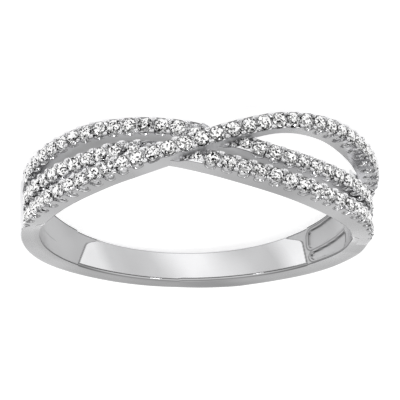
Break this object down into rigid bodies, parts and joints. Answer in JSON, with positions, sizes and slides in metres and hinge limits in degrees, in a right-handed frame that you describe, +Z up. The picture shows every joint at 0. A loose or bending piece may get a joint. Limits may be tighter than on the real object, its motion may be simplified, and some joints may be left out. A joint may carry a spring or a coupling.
{
  "type": "three-strand ring",
  "caption": "Finger ring whose plain tapered shank parts into slim stone-set strands that cross over at the front, lying on its side.",
  "frame": {"origin": "middle of the finger hole, on its axis, at the ring's mid plane", "axes": "+Z up, which is the finger's axis apart from the small lean with which the ring lies on its side; -Y towards the crossing strands at the front"},
  "size_m": [0.0201, 0.0202, 0.0051],
  "materials": {
    "white_gold": "bright polished white gold",
    "stone": "clear cut and polished stone"
  },
  "bodies": {
    "root": {"band": "white_gold", "stones_upper": "stone", "stones_middle": "stone", "stones_over": "stone"}
  },
  "joints": []
}
